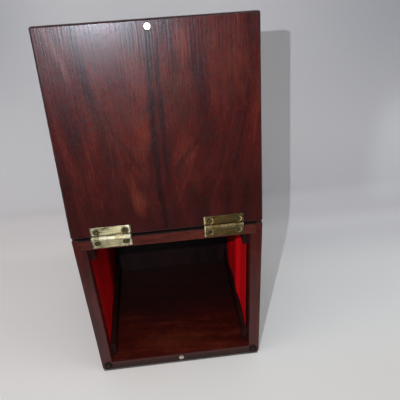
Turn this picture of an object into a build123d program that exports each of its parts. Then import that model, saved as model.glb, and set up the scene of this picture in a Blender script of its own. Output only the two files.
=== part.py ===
from build123d import *
from math import cos, radians, sin
import os

# Dice box: six wooden boards, a full-face lid on two brass butt hinges and a magnet catch.
#
# The box stands on its front wall with the mouth facing -Y and the hinge line on top, so the
# lid stands up behind the rim and leans back on its stop.  Millimetres, +Z up, origin at the
# centre of the face that the box stands on.  Sizes that fit each other are worked out from
# the driving dimensions below.

# ------------------------------------------------------------------ carcass
BOX_WIDTH = 150.0          # X, across the hinge line
FACE_HEIGHT = 154.0        # Z, front wall's outer face to hinge wall's outer face
BODY_DEPTH = 138.0         # Y, rim to back of the base panel
WALL = 10.0                # side walls, front wall and hinge wall
BASE_THICKNESS = 10.0
LAP = 5.0                  # skin that a wall keeps outside its rebates
OUTER_ROUND = 1.5          # sanded outer edges and corners
INNER_EDGE_ROUND = 0.7     # inner edge of the rim

# ------------------------------------------------------------------ lid
LID_THICKNESS = 10.0
LID_ROUND = 1.5            # sanded edges and corners
LID_LEAN = 9.0             # degrees past flat at which the open lid meets its stop
STOP_CLEARANCE = 0.3       # between the leaning lid's foot and the hinge wall

# ------------------------------------------------------------------ butt hinges
HINGE_END_INSET = 15.5     # hinge's outer end inside the box's side
HINGE_LENGTH = 31.0
LEAF_REACH = 9.2           # pin centre to the leaf's long free edge
LEAF_THICKNESS = 1.0       # sheet that the leaf is cut from and its knuckles are rolled from
LEAF_PROUD = 0.2           # how far a leaf stands out of its mortise
LEAF_CORNER_ROUND = 0.4
ROLL_SEAM = 0.15           # between a knuckle's rolled-in end and its leaf
PIN_RADIUS = 0.75
PIN_RUNNING_CLEARANCE = 0.05
KNUCKLES = 5
KNUCKLE_CLEARANCE = 0.15   # between two neighbouring knuckles, along the pin
BARREL_CLEARANCE = 0.3     # round the barrel, in the wood and in the other leaf
MORTISE_CLEARANCE = 0.1

# ------------------------------------------------------------------ countersunk screws
SCREW_SPACING = 22.5
SCREW_INSET = 4.2          # screw axis inside the wood's hinge-side edge
SCREW_LENGTH = 8.0
SCREW_HEAD_RADIUS = 2.3
SCREW_SHANK_RADIUS = 1.1
SCREW_SUNK = 0.2           # head's face below the leaf's face
SCREW_CLEARANCE = 0.05
DRIVER_WIDTH = 0.6
DRIVER_SPAN = 2.6
DRIVER_DEPTH = 0.7

# ------------------------------------------------------------------ magnet catch and pads
MAGNET_DIAMETER = 5.0
MAGNET_THICKNESS = 3.0
MAGNET_CHAMFER = 0.25
MAGNET_CLEARANCE = 0.05
MAGNET_INSET = 4.7         # magnet's axis from the box's front face
PAD_DIAMETER = 8.0
PAD_CLEARANCE = 0.2        # between the pads and the shut lid
PAD_MARGIN = 1.8           # pad's edge inside the two outer faces at its corner
PAD_FLARE = 0.8            # how much wider the pad's foot is than its top, all round

# ------------------------------------------------------------------ battens and linings
BATTEN_WIDTH = 4.5         # X, out from the side wall
BATTEN_HEIGHT = 16.0       # Z
BATTEN_SETBACK = 8.0       # battens and linings start this far behind the rim
BATTEN_EDGE_ROUND = 0.6
LINING_THICKNESS = 2.4
LINING_CLEARANCE = 0.25    # between the lining's edges and the battens, rim side and base
LINING_EDGE_ROUND = 0.8

# ------------------------------------------------------------------ worked-out places
RIM_Y = -BODY_DEPTH / 2
BACK_Y = BODY_DEPTH / 2
FLOOR_Y = BACK_Y - BASE_THICKNESS          # inner face of the base panel
SIDE_X = BOX_WIDTH / 2
INNER_X = SIDE_X - WALL
BARREL_RADIUS = PIN_RADIUS + LEAF_THICKNESS
PIN_SETOFF = LEAF_PROUD + PIN_RADIUS       # pin centre in front of the rim
CLOSED_GAP = 2 * PIN_SETOFF                # between rim and lid when shut
LEAN = radians(LID_LEAN)
FOOT_ROUND_Y = LID_THICKNESS + PIN_SETOFF - LID_ROUND
PIN_OUTSET = (STOP_CLEARANCE + FOOT_ROUND_Y * sin(LEAN) + LID_ROUND * (1 - cos(LEAN))) / (1 + cos(LEAN))
PIN_Y = RIM_Y - PIN_SETOFF
PIN_Z = FACE_HEIGHT + PIN_OUTSET
PIN_AXIS = Axis((0, PIN_Y, PIN_Z), (1, 0, 0))
LID_FOOT_Z = PIN_Z + PIN_OUTSET            # lid's hinge-side edge when opened flat
HINGE_CENTRE = SIDE_X - HINGE_END_INSET - HINGE_LENGTH / 2
KNUCKLE_PITCH = HINGE_LENGTH / KNUCKLES
PLATE_Y = RIM_Y - LEAF_PROUD               # front face of a leaf
HEAD_Y = PLATE_Y + SCREW_SUNK              # face of a box-side screw's head
SCREW_Z = FACE_HEIGHT - SCREW_INSET
PAD_HEIGHT = CLOSED_GAP - PAD_CLEARANCE
PAD_INSET = PAD_MARGIN + PAD_DIAMETER / 2


def block(x0, x1, y0, y1, z0, z1):
    """Box between two opposite corners."""
    return Pos((x0 + x1) / 2, (y0 + y1) / 2, (z0 + z1) / 2) * Box(x1 - x0, y1 - y0, z1 - z0)


def edges_along(shape, axis):
    """Straight edges of a shape that run along an axis."""
    return shape.edges().filter_by(axis)


def lean_back(shape):
    """Turn a piece of the lid from opened flat to leaning on the stop."""
    return shape.rotate(PIN_AXIS, -LID_LEAN)


# ------------------------------------------------------------------ carcass boards
def carcass():
    """The five boards as one hollow body, open at the rim."""
    body = block(-SIDE_X, SIDE_X, RIM_Y, BACK_Y, 0, FACE_HEIGHT)
    body = fillet(body.edges(), OUTER_ROUND)
    body -= block(-INNER_X, INNER_X, RIM_Y, FLOOR_Y, WALL, FACE_HEIGHT - WALL)
    rim = body.faces().filter_by(Axis.Y).sort_by(Axis.Y)[0]
    return fillet(rim.inner_wires()[0].edges(), INNER_EDGE_ROUND)


def carcass_boards():
    """Split the carcass at its rebated corners into the five boards."""
    body = carcass()
    lapped_x = SIDE_X - LAP
    base_seat = block(-lapped_x, lapped_x, FLOOR_Y, BACK_Y, LAP, FACE_HEIGHT - LAP)
    hinge_seat = block(-lapped_x, lapped_x, RIM_Y, BACK_Y, FACE_HEIGHT - WALL, FACE_HEIGHT)
    front_seat = block(-lapped_x, lapped_x, RIM_Y, BACK_Y, 0, WALL)
    boards = {
        "base_panel": body & base_seat,
        "hinge_wall": (body & hinge_seat) - base_seat,
        "front_wall": (body & front_seat) - base_seat,
    }
    for name, x0, x1 in (("left_wall", -SIDE_X, -INNER_X), ("right_wall", INNER_X, SIDE_X)):
        side = body & block(x0, x1, RIM_Y, BACK_Y, 0, FACE_HEIGHT)
        boards[name] = side - base_seat - hinge_seat - front_seat
    return boards


def lid_board():
    """Lid as one solid board, opened flat behind the rim's plane."""
    foot, tip = LID_FOOT_Z, LID_FOOT_Z + FACE_HEIGHT
    board = block(-SIDE_X, SIDE_X, RIM_Y, RIM_Y + LID_THICKNESS, foot, tip)
    return fillet(board.edges(), LID_ROUND)


# ------------------------------------------------------------------ hinges
def knuckle_span(index, slack=0.0):
    """Ends of one knuckle along the pin, from the hinge's middle."""
    start = -HINGE_LENGTH / 2 + index * KNUCKLE_PITCH
    return start - slack, start + KNUCKLE_PITCH + slack


def leaf_place(centre_x):
    """Plane across the hinge at its middle: local x runs along Y, local y along Z."""
    return Plane(origin=(centre_x, 0, 0), x_dir=(0, 1, 0), z_dir=(1, 0, 0))


def leaf_plate(centre_x, clearance=0.0):
    """Flat part of the box-side leaf, from its free edge to the pin's height."""
    half = HINGE_LENGTH / 2 + clearance
    z0 = PIN_Z - LEAF_REACH - clearance
    return block(centre_x - half, centre_x + half, PLATE_Y, PLATE_Y + LEAF_THICKNESS, z0, PIN_Z)


def barrel(centre_x, radius, span):
    """Round bar about the pin axis between two places along the hinge."""
    disc = leaf_place(centre_x) * Pos(PIN_Y, PIN_Z) * Circle(radius)
    return Pos(span[0], 0, 0) * extrude(disc, span[1] - span[0])


def box_leaf(centre_x, own_knuckles, bore_radius):
    """Leaf whose sheet rolls round the pin into its own knuckles, clear of the other leaf's."""
    whole = (-HINGE_LENGTH / 2, HINGE_LENGTH / 2)
    plate = leaf_plate(centre_x)
    free_corners = edges_along(plate, Axis.Y).group_by(Axis.Z)[0]
    leaf = fillet(free_corners, LEAF_CORNER_ROUND) + barrel(centre_x, BARREL_RADIUS, whole)
    leaf -= barrel(centre_x, bore_radius, whole)
    x0, x1 = centre_x + whole[0], centre_x + whole[1]
    leaf -= block(x0, x1, PLATE_Y - ROLL_SEAM, PLATE_Y, PIN_Z - BARREL_RADIUS, PIN_Z)
    reach = BARREL_RADIUS + BARREL_CLEARANCE
    for index in range(KNUCKLES):
        if index not in own_knuckles:
            start, end = knuckle_span(index, KNUCKLE_CLEARANCE / 2)
            leaf -= block(centre_x + start, centre_x + end, PIN_Y - reach, PIN_Y + reach,
                          PIN_Z - reach, PIN_Z + reach)
    for x in screw_places(centre_x):
        leaf -= countersunk(x, SCREW_CLEARANCE, SCREW_SUNK)
    return leaf


def to_lid_side(shape):
    """Mirror a box-side hinge piece to the lid, opened flat."""
    return shape.mirror(Plane(origin=(0, 0, PIN_Z), z_dir=(0, 0, 1)))


def hinge_pin(centre_x):
    """Pin that ends flush with the barrel."""
    return barrel(centre_x, PIN_RADIUS, (-HINGE_LENGTH / 2, HINGE_LENGTH / 2))


def barrel_relief(centre_x):
    """Room in the wood for the whole barrel."""
    half = HINGE_LENGTH / 2 + BARREL_CLEARANCE
    return barrel(centre_x, BARREL_RADIUS + BARREL_CLEARANCE, (-half, half))


# ------------------------------------------------------------------ screws
def screw_places(centre_x):
    """The two screws of a leaf, along X."""
    return centre_x - SCREW_SPACING / 2, centre_x + SCREW_SPACING / 2


def countersunk(x, clearance=0.0, mouth=0.0):
    """Countersunk screw without its recess, or the hole that it needs.

    A mouth carries the head's cone on past the head's face.
    """
    shank = SCREW_SHANK_RADIUS + clearance
    cone = SCREW_HEAD_RADIUS - SCREW_SHANK_RADIUS
    tip = SCREW_LENGTH + clearance
    outline = [(0, -mouth), (shank + cone + mouth, -mouth), (shank, cone), (shank, tip), (0, tip)]
    place = Plane(origin=(x, HEAD_Y, SCREW_Z), x_dir=(1, 0, 0), z_dir=(0, 0, 1))
    return revolve(place * make_face(Polyline(*outline, close=True)), Axis(place.origin, (0, 1, 0)))


def screw(x):
    """Screw with a cross recess in its head."""
    half, span = DRIVER_WIDTH / 2, DRIVER_SPAN / 2
    bottom = HEAD_Y + DRIVER_DEPTH
    upright = block(x - half, x + half, HEAD_Y, bottom, SCREW_Z - span, SCREW_Z + span)
    level = block(x - span, x + span, HEAD_Y, bottom, SCREW_Z - half, SCREW_Z + half)
    return countersunk(x) - upright - level


# ------------------------------------------------------------------ magnets, pads, battens, linings
def disc_into_wood(x, z, radius, depth):
    """Disc that starts at the rim's plane and goes back into the wood."""
    disc = Plane(origin=(x, RIM_Y, z), x_dir=(1, 0, 0), z_dir=(0, 1, 0)) * Circle(radius)
    return extrude(disc, depth)


def magnet(z):
    """Disc magnet, flush with the wood's face."""
    disc = disc_into_wood(0, z, MAGNET_DIAMETER / 2, MAGNET_THICKNESS)
    return chamfer(disc.edges().group_by(Axis.Y)[0], MAGNET_CHAMFER)


def magnet_hole(z):
    """Blind hole that a magnet is glued into."""
    radius = MAGNET_DIAMETER / 2 + MAGNET_CLEARANCE
    return disc_into_wood(0, z, radius, MAGNET_THICKNESS + MAGNET_CLEARANCE)


def corner_pad(side):
    """Low tapered pad on the rim's corner that the closing lid lands on."""
    foot = Plane(origin=(side * (SIDE_X - PAD_INSET), RIM_Y, PAD_INSET), x_dir=(1, 0, 0), z_dir=(0, -1, 0))
    radius = PAD_DIAMETER / 2
    return foot * Pos(0, 0, PAD_HEIGHT / 2) * Cone(radius, radius - PAD_FLARE, PAD_HEIGHT)


def batten(side, at_hinge):
    """Batten in the corner between a side wall and the front or the hinge wall."""
    z0 = FACE_HEIGHT - WALL - BATTEN_HEIGHT if at_hinge else WALL
    x0, x1 = sorted((side * INNER_X, side * (INNER_X - BATTEN_WIDTH)))
    strip = block(x0, x1, RIM_Y + BATTEN_SETBACK, FLOOR_Y, z0, z0 + BATTEN_HEIGHT)
    inward = strip.edges().filter_by(Axis.Y).group_by(Axis.X)[0 if side > 0 else -1]
    free = inward.sort_by(Axis.Z)[0 if at_hinge else -1]
    return fillet(free, BATTEN_EDGE_ROUND)


def lining(side):
    """Soft red lining on a side wall, between its two battens."""
    near = RIM_Y + BATTEN_SETBACK + LINING_CLEARANCE
    far = FLOOR_Y - LINING_CLEARANCE
    low = WALL + BATTEN_HEIGHT + LINING_CLEARANCE
    high = FACE_HEIGHT - WALL - BATTEN_HEIGHT - LINING_CLEARANCE
    x0, x1 = sorted((side * INNER_X, side * (INNER_X - LINING_THICKNESS)))
    panel = block(x0, x1, near, far, low, high)
    soft_face = panel.faces().sort_by(Axis.X)[0 if side > 0 else -1]
    return fillet(soft_face.edges(), LINING_EDGE_ROUND)


# ------------------------------------------------------------------ assembly
def build():
    """Make every piece, in the box's frame."""
    pieces = carcass_boards()
    lid = lid_board()
    lid_magnet_z = LID_FOOT_Z + FACE_HEIGHT - MAGNET_INSET
    box_knuckles = range(0, KNUCKLES, 2)
    lid_knuckles = range(1, KNUCKLES, 2)

    box_screws, lid_screws = [], []

    for name, side in (("left", -1), ("right", 1)):
        centre = side * HINGE_CENTRE
        box_side = box_leaf(centre, box_knuckles, PIN_RADIUS)
        lid_side = box_leaf(centre, lid_knuckles, PIN_RADIUS + PIN_RUNNING_CLEARANCE)
        screws = [screw(x) for x in screw_places(centre)]
        cuts = leaf_plate(centre, MORTISE_CLEARANCE) + barrel_relief(centre)
        for x in screw_places(centre):
            cuts += countersunk(x, SCREW_CLEARANCE)
        pieces["hinge_wall"] -= cuts
        lid -= to_lid_side(cuts)
        pieces[f"{name}_box_leaf"] = box_side
        pieces[f"{name}_lid_leaf"] = lean_back(to_lid_side(lid_side))
        pieces[f"{name}_hinge_pin"] = hinge_pin(centre)
        box_screws += screws
        lid_screws += [lean_back(to_lid_side(each)) for each in screws]
        pieces[f"{name}_corner_pad"] = corner_pad(side)
        pieces[f"{name}_front_batten"] = batten(side, at_hinge=False)
        pieces[f"{name}_hinge_batten"] = batten(side, at_hinge=True)
        pieces[f"{name}_lining"] = lining(side)

    pieces["box_screws"] = Compound(box_screws)
    pieces["lid_screws"] = Compound(lid_screws)
    pieces["front_wall"] -= magnet_hole(MAGNET_INSET)
    pieces["rim_magnet"] = magnet(MAGNET_INSET)
    pieces["lid_panel"] = lean_back(lid - magnet_hole(lid_magnet_z))
    pieces["lid_magnet"] = lean_back(magnet(lid_magnet_z))
    return pieces


os.makedirs("parts", exist_ok=True)
for node, shape in build().items():
    export_step(shape, f"parts/{node}.step")
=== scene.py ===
import logging
import math
import random
from collections.abc import Callable
from dataclasses import dataclass
from enum import Enum
from typing import ClassVar

import bpy
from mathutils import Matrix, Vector


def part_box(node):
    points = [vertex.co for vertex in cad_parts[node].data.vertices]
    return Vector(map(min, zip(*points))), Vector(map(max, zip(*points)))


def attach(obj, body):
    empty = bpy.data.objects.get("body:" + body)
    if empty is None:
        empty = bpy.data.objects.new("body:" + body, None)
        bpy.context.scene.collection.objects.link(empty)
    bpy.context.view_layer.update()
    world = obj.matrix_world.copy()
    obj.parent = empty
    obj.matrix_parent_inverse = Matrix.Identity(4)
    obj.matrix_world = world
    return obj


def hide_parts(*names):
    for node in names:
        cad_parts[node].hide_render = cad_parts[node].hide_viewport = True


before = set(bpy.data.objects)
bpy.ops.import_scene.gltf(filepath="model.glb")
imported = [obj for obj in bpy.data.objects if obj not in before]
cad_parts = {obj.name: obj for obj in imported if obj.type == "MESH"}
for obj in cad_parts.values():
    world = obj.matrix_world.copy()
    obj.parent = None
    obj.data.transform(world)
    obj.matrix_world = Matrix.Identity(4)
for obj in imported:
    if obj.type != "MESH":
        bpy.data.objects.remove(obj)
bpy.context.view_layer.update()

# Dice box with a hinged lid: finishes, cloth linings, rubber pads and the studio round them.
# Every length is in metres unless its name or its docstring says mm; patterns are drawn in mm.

log = logging.getLogger("dice_box")

MM = 0.001
ORIGIN = (0.0, 0.0, 0.0)
Pair = tuple[float, float]
Triple = tuple[float, float, float]
Colour = tuple[float, float, float, float]
Socket = bpy.types.NodeSocket


def tint(red: float, green: float, blue: float) -> Colour:
    """Gives an opaque linear colour."""
    return (red, green, blue, 1.0)


def radians(degrees: Triple) -> Triple:
    """Turns three angles from degrees to radians."""
    return tuple(math.radians(angle) for angle in degrees)


def titled(values: dict[str, "Setting"]) -> dict[str, "Setting"]:
    """Spells input names as Blender does, so that base_color is Base Color."""
    return {name.replace("_", " ").title().replace("Ior", "IOR"): value for name, value in values.items()}


# ---------------------------------------------------------------------------- node drawing
@dataclass(frozen=True)
class Wire:
    """A node's output, which takes part in sums as a number or a vector does."""

    graph: "Graph"
    socket: Socket

    def reckon(self, operation: str, a: "Setting", b: "Setting") -> "Wire":
        """Adds a Math node, or a Vector Math node where this holds a vector or a colour."""
        sums = self.graph.maths if self.socket.type == "VALUE" else self.graph.vector
        return sums(operation, a, b)

    def __add__(self, other: "Setting") -> "Wire":
        """Adds a value."""
        return self.reckon("ADD", self, other)

    def __sub__(self, other: "Setting") -> "Wire":
        """Takes a value away."""
        return self.reckon("SUBTRACT", self, other)

    def __rsub__(self, other: float) -> "Wire":
        """Takes this away from a number."""
        return self.reckon("SUBTRACT", other, self)

    def __mul__(self, other: "Setting") -> "Wire":
        """Multiplies by a value."""
        return self.reckon("MULTIPLY", self, other)

    def __truediv__(self, other: "Setting") -> "Wire":
        """Divides by a value."""
        return self.reckon("DIVIDE", self, other)

    def __rtruediv__(self, other: float) -> "Wire":
        """Divides a number by this."""
        return self.reckon("DIVIDE", other, self)

    def __abs__(self) -> "Wire":
        """Drops the sign of a number."""
        return self.graph.maths("ABSOLUTE", self)

    def clamped(self) -> "Wire":
        """Keeps a number between 0 and 1."""
        return self.graph.maths("ADD", self, clamp=True)

    def parts(self) -> "list[Wire]":
        """Splits a vector into its three numbers."""
        return list(self.graph.wires(self.graph.node("SeparateXYZ", {0: self}).outputs).values())

    def ramp(self, low: "Setting", high: "Setting", start: "Setting" = 0.0, end: "Setting" = 1.0) -> "Wire":
        """Turns a number smoothly from one range to another.

        Args:
            low: Where the ramp starts.
            high: Where it ends.
            start: What it gives at low.
            end: What it gives at high.

        Returns:
            The result.
        """
        inputs = {"Value": self, "From Min": low, "From Max": high, "To Min": start, "To Max": end}
        return self.graph.add("MapRange", inputs, interpolation_type="SMOOTHSTEP")

    def noise(self, per_mm: float | Triple, detail: float = 2.0, roughness: float = 0.5, distortion: float = 0.0,
              output: str | int = 0) -> "Wire":
        """Adds noise at a place in mm, with cells that may have a size of their own along each axis.

        Args:
            per_mm: How many cells to a mm, along all axes or along each.
            detail: Octaves beyond the first.
            roughness: Weight of the finer octaves.
            distortion: How far the pattern swirls.
            output: The noise's output, its number unless named.

        Returns:
            The noise, 0 to 1, mostly near a half.
        """
        scale = (per_mm,) * 3 if isinstance(per_mm, float) else per_mm
        inputs = {"Vector": self * scale, "Scale": 1.0, "Detail": detail, "Roughness": roughness,
                  "Distortion": distortion}
        return self.graph.add("TexNoise", inputs, output)

    def line_noise(self, per_mm: "Setting", shift: float, detail: float = 1.0) -> "Wire":
        """Adds noise along one number in mm.

        Args:
            per_mm: How many cells to a mm.
            shift: Where the pattern starts.
            detail: Octaves beyond the first.

        Returns:
            The noise, 0 to 1.
        """
        inputs = {"W": self * per_mm + shift, "Scale": 1.0, "Detail": detail}
        return self.graph.add("TexNoise", inputs, noise_dimensions="1D")

    def cells(self, per_mm: Triple) -> "Wires":
        """Adds flat cells, each with its own colour and the distance to its point."""
        inputs = {"Vector": self * per_mm, "Scale": 1.0, "Randomness": 1.0}
        return self.graph.wires(self.graph.node("TexVoronoi", inputs, voronoi_dimensions="2D").outputs)

    def bump(self, strength: float, distance: float) -> "Wire":
        """Raises the surface by this height and gives its normal."""
        return self.graph.add("Bump", {"Strength": strength, "Distance": distance, "Height": self})


Setting = float | Triple | Colour | Wire
Wires = dict[str, Wire]


class Graph:
    """Adds nodes to one shader tree and joins them."""

    def __init__(self, tree: bpy.types.NodeTree) -> None:
        """Starts on a tree."""
        self.tree = tree

    def feed(self, socket: Socket, value: Setting) -> None:
        """Joins an input to a wire, or gives it a plain value.

        Args:
            socket: The input.
            value: A wire, or what the input holds.
        """
        if isinstance(value, Wire):
            self.tree.links.new(value.socket, socket)
        else:
            socket.default_value = value

    def wires(self, sockets: bpy.types.bpy_prop_collection) -> Wires:
        """Gives a node's outputs by their names."""
        return {socket.name: Wire(self, socket) for socket in sockets if socket.name}

    def node(self, kind: str, inputs: dict[str | int, Setting] | None = None, **settings: object) -> bpy.types.Node:
        """Adds one node.

        Args:
            kind: The node's type without its ShaderNode prefix.
            inputs: What goes into its inputs, by name or number.
            **settings: The node's own properties, set before its inputs.

        Returns:
            The new node.
        """
        node = self.tree.nodes.new("ShaderNode" + kind)
        for name, value in settings.items():
            setattr(node, name, value)
        for key, value in (inputs or {}).items():
            self.feed(node.inputs[key], value)
        return node

    def add(self, kind: str, inputs: dict[str | int, Setting] | None = None, output: str | int = 0,
            **settings: object) -> Wire:
        """Adds one node and gives its first output, or the one that is named."""
        return Wire(self, self.node(kind, inputs, **settings).outputs[output])

    def maths(self, operation: str, a: Setting, b: Setting = 0.0, clamp: bool = False) -> Wire:
        """Adds a Math node."""
        return self.add("Math", {0: a, 1: b}, operation=operation, use_clamp=clamp)

    def vector(self, operation: str, a: Setting, b: Setting = ORIGIN, output: str = "Vector") -> Wire:
        """Adds a Vector Math node."""
        return self.add("VectorMath", {0: a, 1: b}, output, operation=operation)

    def largest(self, first: Wire, *others: Wire) -> Wire:
        """Gives the largest of some numbers.

        Args:
            first: One number.
            *others: The rest.

        Returns:
            The largest.
        """
        for other in others:
            first = self.maths("MAXIMUM", first, other)
        return first

    def joined(self, x: Setting, y: Setting, z: Setting = 0.0) -> Wire:
        """Makes a vector of three numbers."""
        return self.add("CombineXYZ", {0: x, 1: y, 2: z})

    def length(self, x: Setting, y: Setting) -> Wire:
        """Gives how far a flat offset reaches."""
        return self.vector("LENGTH", self.joined(x, y), output="Value")

    def blend(self, share: Setting, a: Setting, b: Setting, how: str = "MIX") -> Wire:
        """Mixes a share of the second colour, 0 to 1, into the first."""
        return self.add("Mix", {0: share, 6: a, 7: b}, 2, data_type="RGBA", blend_type=how)

    def shader(self, **inputs: Setting) -> Wire:
        """Adds a Principled BSDF, its inputs in lower case with _ for each space."""
        return self.add("BsdfPrincipled", titled(inputs))


class Effect:
    """A shader node group that several materials share, built at its first use."""

    title: ClassVar[str] = ""
    takes: ClassVar[dict[str, Setting]] = {}
    gives: ClassVar[tuple[str, ...]] = ()

    @classmethod
    def build(cls) -> bpy.types.NodeTree:
        """Makes the group with its inputs and outputs.

        Returns:
            The new group.
        """
        kinds = {1: "NodeSocketFloat", 3: "NodeSocketVector", 4: "NodeSocketColor"}
        tree = bpy.data.node_groups.new(cls.title, "ShaderNodeTree")
        for name, value in cls.takes.items():
            kind = kinds[len(value) if isinstance(value, tuple) else 1]
            socket = tree.interface.new_socket(name=name, in_out="INPUT", socket_type=kind)
            socket.default_value = value
        for name in cls.gives:
            kind = kinds[4 if name == "Color" else 1]
            tree.interface.new_socket(name=name, in_out="OUTPUT", socket_type=kind)
        graph = Graph(tree)
        given = graph.wires(tree.nodes.new("NodeGroupInput").outputs)
        outside = tree.nodes.new("NodeGroupOutput").inputs
        for name, wire in cls.draw(graph, given).items():
            graph.feed(outside[name], wire)
        return tree

    @classmethod
    def draw(cls, graph: Graph, given: Wires) -> Wires:
        """Draws what is inside the group; each effect has its own."""
        raise NotImplementedError

    @classmethod
    def place(cls, graph: Graph, **values: Setting) -> Wires:
        """Puts the group in a material.

        Args:
            graph: The material's graph.
            **values: Its inputs, in lower case with _ for each space.

        Returns:
            The group's outputs.
        """
        tree = bpy.data.node_groups.get(cls.title) or cls.build()
        return graph.wires(graph.node("Group", titled(values), node_tree=tree).outputs)


class Timber(Effect):
    """Solid wood with its grain along Z: growth rings round Z, fibres, pores and figure."""

    title = "Timber"
    takes = {"Place": ORIGIN, "Face": ORIGIN, "Ring Width": 7.0, "Rings": 0.5, "Figure": 0.5, "Pores": 0.8,
             "Dark": tint(0.0, 0.0, 0.0), "Body": tint(0.0, 0.0, 0.0), "Light": tint(0.0, 0.0, 0.0)}
    gives = ("Color", "Pore", "Height")

    @classmethod
    def draw(cls, graph: Graph, given: Wires) -> Wires:
        """Draws the wood.

        Args:
            graph: The group's graph.
            given: The group's inputs.

        Returns:
            Colour, pore mask and height.
        """
        place, face, body = given["Place"], given["Face"], given["Body"]
        sway = place.noise((0.016, 0.016, 0.007), roughness=0.55, output="Color") - (0.5, 0.5, 0.5)
        bent = place + sway * (26.0, 26.0, 0.0)
        x, y, _ = bent.parts()
        from_pith = graph.length(x, y)
        per_ring = 1.0 / given["Ring Width"]
        rings = from_pith.line_noise(per_ring, shift=3.7, detail=2.0)
        lines = from_pith.line_noise(per_ring * 3.6, shift=41.3)
        bands = bent.noise((0.085, 0.085, 0.007))
        fibres = bent.noise((1.5, 1.5, 0.07), detail=3.0, roughness=0.6)
        figure = bent.noise((0.13, 0.13, 0.055), detail=3.0, roughness=0.6, distortion=0.9)

        ring_tone = rings.ramp(0.32, 0.68) * 0.68 + lines.ramp(0.3, 0.7) * 0.32
        plain = bands.ramp(0.25, 0.75) * 0.4 + 0.28
        tone = plain + (ring_tone - 0.5) * given["Rings"] + (figure - 0.5) * given["Figure"] * 1.5
        tone = (tone + (fibres - 0.5) * 1.1).clamped()
        low = graph.blend(tone.ramp(0.02, 0.5), graph.blend(0.30, given["Dark"], body), body)
        colour = graph.blend(tone.ramp(0.45, 0.98), low, given["Light"])

        side, depth, up = face.parts()
        skin = graph.joined(depth * 0.7 + side, up)
        dashes = skin.cells((1.10, 0.16, 0.0))
        chosen = dashes["Color"].parts()[0].ramp(0.25, 0.50)
        dash = dashes["Distance"].ramp(0.36, 0.12) * chosen
        dots = skin.cells((3.1, 0.42, 0.0))["Distance"].ramp(0.4, 0.2) * 0.55
        rich = place.noise((0.06, 0.06, 0.02), detail=1.0).ramp(0.38, 0.6, 0.7, 1.0)
        pore = graph.largest(dash, dots) * (rich * given["Pores"])
        colour = graph.blend(pore, colour, graph.blend(0.90, colour, given["Dark"]))
        ridges = face.noise((0.60, 0.60, 0.03), detail=1.0)
        return {"Color": colour, "Pore": pore, "Height": fibres * 0.10 + pore * -0.08 + ridges}


class Streak(Effect):
    """One dark or light streak along the grain, bowed and ragged."""

    title = "Streak"
    takes = {"Place": ORIGIN, "Centre": 0.0, "Lean": 0.0, "Bow": 0.0, "Middle": 0.0, "Width": 4.0,
             "Bottom": 0.0, "Top": 150.0, "Fade": 25.0, "Shift": 0.0}
    gives = ("Mask",)

    @classmethod
    def draw(cls, graph: Graph, given: Wires) -> Wires:
        """Draws the streak.

        Args:
            graph: The group's graph.
            given: The group's inputs, in mm.

        Returns:
            The mask, 1 in the streak.
        """
        x, _, z = given["Place"].parts()
        width, bottom, top = given["Width"], given["Bottom"], given["Top"]
        up = z - given["Middle"]
        wander = z.line_noise(0.035, shift=7.1, detail=2.0) - 0.5
        line = up * up * given["Bow"] + (up * given["Lean"] + given["Centre"]) + wander * (width * 0.55)
        ragged = graph.joined(x, given["Shift"], z).noise((0.9, 0.2, 0.05), detail=3.0, roughness=0.6)
        off = abs(x - line) + (ragged - 0.5) * width * 1.5
        foot = z.ramp(bottom, bottom + given["Fade"])
        head = z.ramp(top + given["Fade"], top)
        return {"Mask": off.ramp(width * 0.75, width * 0.2) * (foot * head)}


class Patch(Effect):
    """A soft lighter or darker patch with a drifting outline."""

    title = "Patch"
    takes = {"Place": ORIGIN, "Centre": ORIGIN, "Reach": (10.0, 10.0, 10.0)}
    gives = ("Mask",)

    @classmethod
    def draw(cls, graph: Graph, given: Wires) -> Wires:
        """Draws the patch.

        Args:
            graph: The group's graph.
            given: The group's inputs, in mm.

        Returns:
            The mask, 1 in the patch's middle.
        """
        place = given["Place"]
        away = (place - given["Centre"]) / given["Reach"]
        drift = place.noise((0.2, 0.2, 0.07), roughness=0.6)
        far = graph.vector("LENGTH", away, output="Value") + (drift - 0.5) * 1.6
        fibres = place.noise((0.7, 0.7, 0.05), detail=3.0, roughness=0.6)
        return {"Mask": far.ramp(1.1, 0.1) * fibres.ramp(0.35, 0.65, 0.45, 1.0)}


class Edges(Effect):
    """Rounded edges picked out from the flat faces, with broken-up borders."""

    title = "Edges"
    takes = {"Place": ORIGIN, "Facing": (0.0, 0.0, 1.0), "Reach": 0.0012, "Broken": 0.5}
    gives = ("Mask",)

    @classmethod
    def draw(cls, graph: Graph, given: Wires) -> Wires:
        """Draws the mask.

        Args:
            graph: The group's graph.
            given: The group's inputs.

        Returns:
            The mask, 1 on an edge.
        """
        softened = graph.add("Bevel", {"Radius": given["Reach"]}, samples=6)
        true = graph.add("NewGeometry", output="True Normal")
        along = graph.vector("DOT_PRODUCT", softened, true, output="Value")
        squarest = graph.largest(*(abs(part) for part in given["Facing"].parts()))
        turned = graph.largest(along.ramp(0.995, 0.8), squarest.ramp(0.985, 0.90))
        broken = given["Place"].noise(0.45, detail=4.0, roughness=0.65)
        return {"Mask": turned * broken.ramp(0.3, 0.62, 1.0 - given["Broken"], 1.0)}


class Handling(Effect):
    """Smears and fine scratches that years of use leave in a gloss."""

    title = "Handling"
    takes = {"Place": ORIGIN, "Amount": 0.5}
    gives = ("Rough",)

    @classmethod
    def draw(cls, graph: Graph, given: Wires) -> Wires:
        """Draws the smears.

        Args:
            graph: The group's graph.
            given: The group's inputs.

        Returns:
            How much to add to the roughness, around 0.
        """
        smears = given["Place"].noise(0.05, detail=4.0, roughness=0.6, distortion=0.4)
        specks = given["Place"].noise(0.6)
        return {"Rough": (smears * 0.65 + specks * 0.35 - 0.5) * given["Amount"]}


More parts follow.
